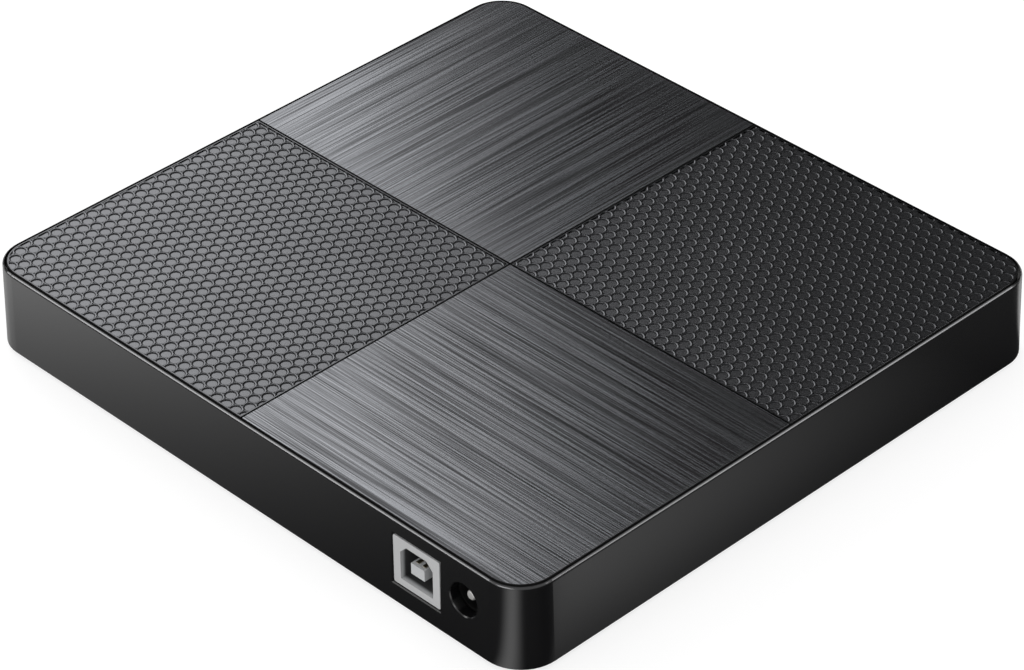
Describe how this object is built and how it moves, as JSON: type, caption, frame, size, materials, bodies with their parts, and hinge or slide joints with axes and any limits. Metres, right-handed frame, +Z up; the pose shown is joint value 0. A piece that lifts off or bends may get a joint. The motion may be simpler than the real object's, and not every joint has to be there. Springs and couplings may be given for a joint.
{
  "type": "external dvd drive",
  "caption": "Slim square external disc drive with a textured top plate, a front tray on telescopic rails, and data and power sockets at the rear.",
  "frame": {"origin": "on the surface it stands on, under the middle of the case", "axes": "+Z up, +X to the right seen from the front, -Y out of the front where the tray leaves, +Y out of the rear with the sockets"},
  "size_m": [0.1498, 0.1424, 0.0194],
  "materials": {
    "case_plastic": "satin black moulding",
    "top_plate": "dark textured plate, two fields brushed and two scaled",
    "base_plastic": "matt black moulding",
    "feet": "soft black rubber",
    "screws": "zinc plated",
    "circuit_board": "green lacquered glass fibre",
    "chips": "black moulded chips",
    "capacitors": "plain cans",
    "plated_shell": "nickel plated sheet",
    "socket_insert": "black insulator",
    "contacts": "gilded strips",
    "socket_body": "black moulding",
    "pin": "nickel plated",
    "pressed_steel": "pressed zinc steel",
    "guide_plastic": "white slippery plastic",
    "rails": "bright drawn steel",
    "tray_plastic": "matt black moulding",
    "bezel_plastic": "satin black moulding",
    "button_plastic": "satin black moulding",
    "light_plastic": "clear light guide",
    "traverse_steel": "black coated sheet",
    "rods": "polished steel",
    "motor": "plated motor can",
    "stator": "plated sheet and core",
    "turntable": "turned hub",
    "ring": "soft black ring",
    "jaws": "black slippery plastic",
    "sled_metal": "grey die casting",
    "pickup_sheet": "thin pressed sheet",
    "magnets": "nickel plated magnets",
    "holder": "black moulding",
    "lens": "coated lens",
    "screw_steel": "rolled screw",
    "latch": "stamped lever",
    "solenoid": "wound coil",
    "plunger": "white plastic",
    "ribbon": "white flat cable",
    "connector": "black connector"
  },
  "bodies": {
    "case": {"housing": "case_plastic", "top_plate": "top_plate", "base_cover": "base_plastic", "rubber_feet": "feet", "case_screws": "screws", "bridge_board": "circuit_board", "board_screws": "screws", "bridge_chips": "chips", "capacitors": "capacitors", "data_socket_shell": "plated_shell", "data_socket_insert": "socket_insert", "data_contacts": "contacts", "power_socket_body": "socket_body", "power_pin": "pin", "drive_chassis": "pressed_steel", "drive_lid": "pressed_steel", "rail_guide_left": "guide_plastic", "rail_guide_right": "guide_plastic", "lid_screws": "screws", "main_board": "circuit_board", "main_board_chips": "chips", "drive_connector": "connector", "board_connector": "connector", "ribbon_cable": "ribbon"},
    "left_rail": {"rail_left": "rails"},
    "right_rail": {"rail_right": "rails"},
    "tray": {"disc_tray": "tray_plastic", "tray_cover": "pressed_steel", "tray_bezel": "bezel_plastic", "light_guide": "light_plastic", "tray_board": "circuit_board", "tray_board_parts": "chips", "traverse_frame": "traverse_steel", "traverse_cover": "traverse_steel", "spindle_stator": "stator", "guide_rods": "rods", "sled_motor": "motor", "latch_solenoid": "solenoid"},
    "button": {"eject_button": "button_plastic"},
    "spindle": {"turntable": "turntable", "turntable_ring": "ring"},
    "jaw_1": {"hub_jaw_1": "jaws"},
    "jaw_2": {"hub_jaw_2": "jaws"},
    "jaw_3": {"hub_jaw_3": "jaws"},
    "sled": {"pickup_sled": "sled_metal", "pickup_cover": "pickup_sheet", "focus_magnets": "magnets"},
    "lens": {"lens_holder": "holder", "objective_lens": "lens"},
    "screw": {"lead_screw": "screw_steel"},
    "latch": {"latch_lever": "latch"},
    "ejector": {"eject_plunger": "plunger"}
  },
  "joints": [
    {"name": "tray_slide", "type": "slide", "parent": "case", "child": "tray", "axis": [0, -1, 0], "range_m": [0, 0.13]},
    {"name": "left_rail_slide", "type": "slide", "parent": "case", "child": "left_rail", "axis": [0, -1, 0], "range_m": [0, 0.065]},
    {"name": "right_rail_slide", "type": "slide", "parent": "case", "child": "right_rail", "axis": [0, -1, 0], "range_m": [0, 0.065]},
    {"name": "eject_button_press", "type": "slide", "parent": "tray", "child": "button", "axis": [0, 1, 0], "range_m": [0, 0.0006], "stiffness_N_per_m": 1000},
    {"name": "spindle_spin", "type": "hinge", "parent": "tray", "child": "spindle", "pos_m": [0.0006, -0.005, 0.013], "axis": [0, 0, 1], "continuous": true},
    {"name": "jaw_1_press", "type": "slide", "parent": "spindle", "child": "jaw_1", "axis": [-0.7071, 0.7071, 0], "range_m": [0, 0.0004], "stiffness_N_per_m": 400},
    {"name": "jaw_2_press", "type": "slide", "parent": "spindle", "child": "jaw_2", "axis": [-0.2588, -0.9659, 0], "range_m": [0, 0.0004], "stiffness_N_per_m": 400},
    {"name": "jaw_3_press", "type": "slide", "parent": "spindle", "child": "jaw_3", "axis": [0.9659, 0.2588, 0], "range_m": [0, 0.0004], "stiffness_N_per_m": 400},
    {"name": "sled_slide", "type": "slide", "parent": "tray", "child": "sled", "axis": [0.7071, -0.7071, 0], "range_m": [0, 0.033]},
    {"name": "lead_screw_turn", "type": "hinge", "parent": "tray", "child": "screw", "pos_m": [0.00378, -0.0301, 0.0082], "axis": [0.7071, -0.7071, 0], "range_deg": [-3961, 0]},
    {"name": "lens_focus", "type": "slide", "parent": "sled", "child": "lens", "axis": [0, 0, 1], "range_m": [-0.0004, 0.0004], "stiffness_N_per_m": 60},
    {"name": "latch_swing", "type": "hinge", "parent": "tray", "child": "latch", "pos_m": [-0.05, -0.045, 0.0045], "axis": [0, 0, 1], "range_deg": [-10, 0], "stiffness_Nm_per_rad": 0.01},
    {"name": "ejector_slide", "type": "slide", "parent": "tray", "child": "ejector", "axis": [0, 1, 0], "range_m": [0, 0.008]}
  ],
  "couplings": [
    {"joint": "left_rail_slide", "follows": "tray_slide", "ratio": 0.5},
    {"joint": "right_rail_slide", "follows": "tray_slide", "ratio": 0.5},
    {"joint": "ejector_slide", "follows": "tray_slide", "ratio": 0.06},
    {"joint": "lead_screw_turn", "follows": "sled_slide", "rad_per_m": -2094.4}
  ]
}
